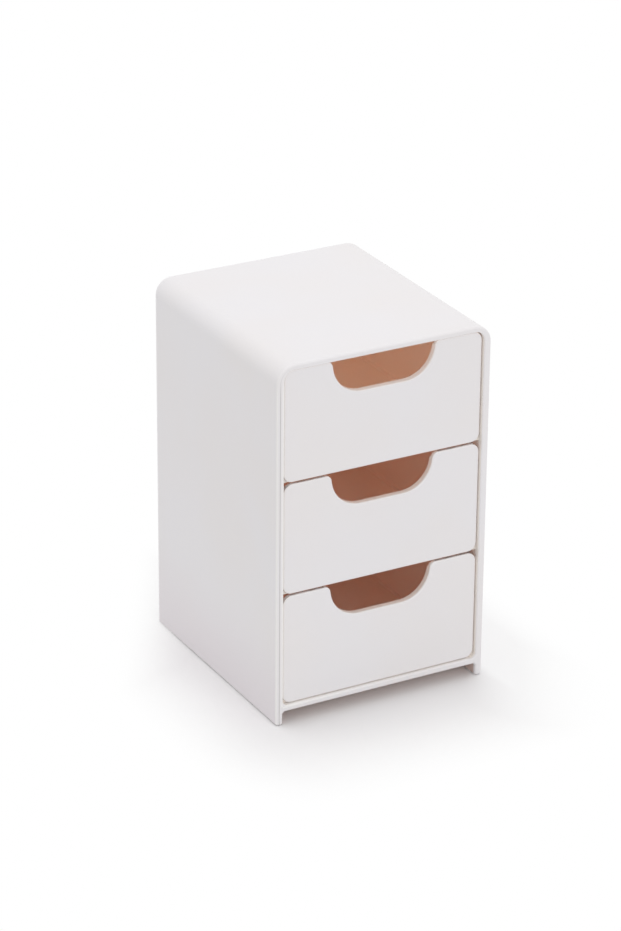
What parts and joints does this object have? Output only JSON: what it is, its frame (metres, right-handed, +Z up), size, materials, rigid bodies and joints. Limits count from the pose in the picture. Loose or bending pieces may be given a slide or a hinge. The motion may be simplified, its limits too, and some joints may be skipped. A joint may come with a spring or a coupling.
{
  "type": "desktop storage box",
  "caption": "White moulded desktop box on side skids, with stacked pull-out drawers that have U-shaped finger notches.",
  "frame": {"origin": "on the desk, under the middle of the casing", "axes": "+X to the right seen from the front, +Y from the drawer fronts to the back, +Z up"},
  "size_m": [0.08, 0.09, 0.13],
  "materials": {
    "white_plastic": "fine satin moulding finish, slightly translucent white"
  },
  "bodies": {
    "casing": {"casing": "white_plastic"},
    "drawer_bottom": {"drawer_bottom": "white_plastic"},
    "drawer_middle": {"drawer_middle": "white_plastic"},
    "drawer_top": {"drawer_top": "white_plastic"}
  },
  "joints": [
    {"name": "drawer_bottom_slide", "type": "slide", "parent": "casing", "child": "drawer_bottom", "axis": [0, -1, 0], "range_m": [0, 0.075]},
    {"name": "drawer_middle_slide", "type": "slide", "parent": "casing", "child": "drawer_middle", "axis": [0, -1, 0], "range_m": [0, 0.075]},
    {"name": "drawer_top_slide", "type": "slide", "parent": "casing", "child": "drawer_top", "axis": [0, -1, 0], "range_m": [0, 0.075]}
  ]
}
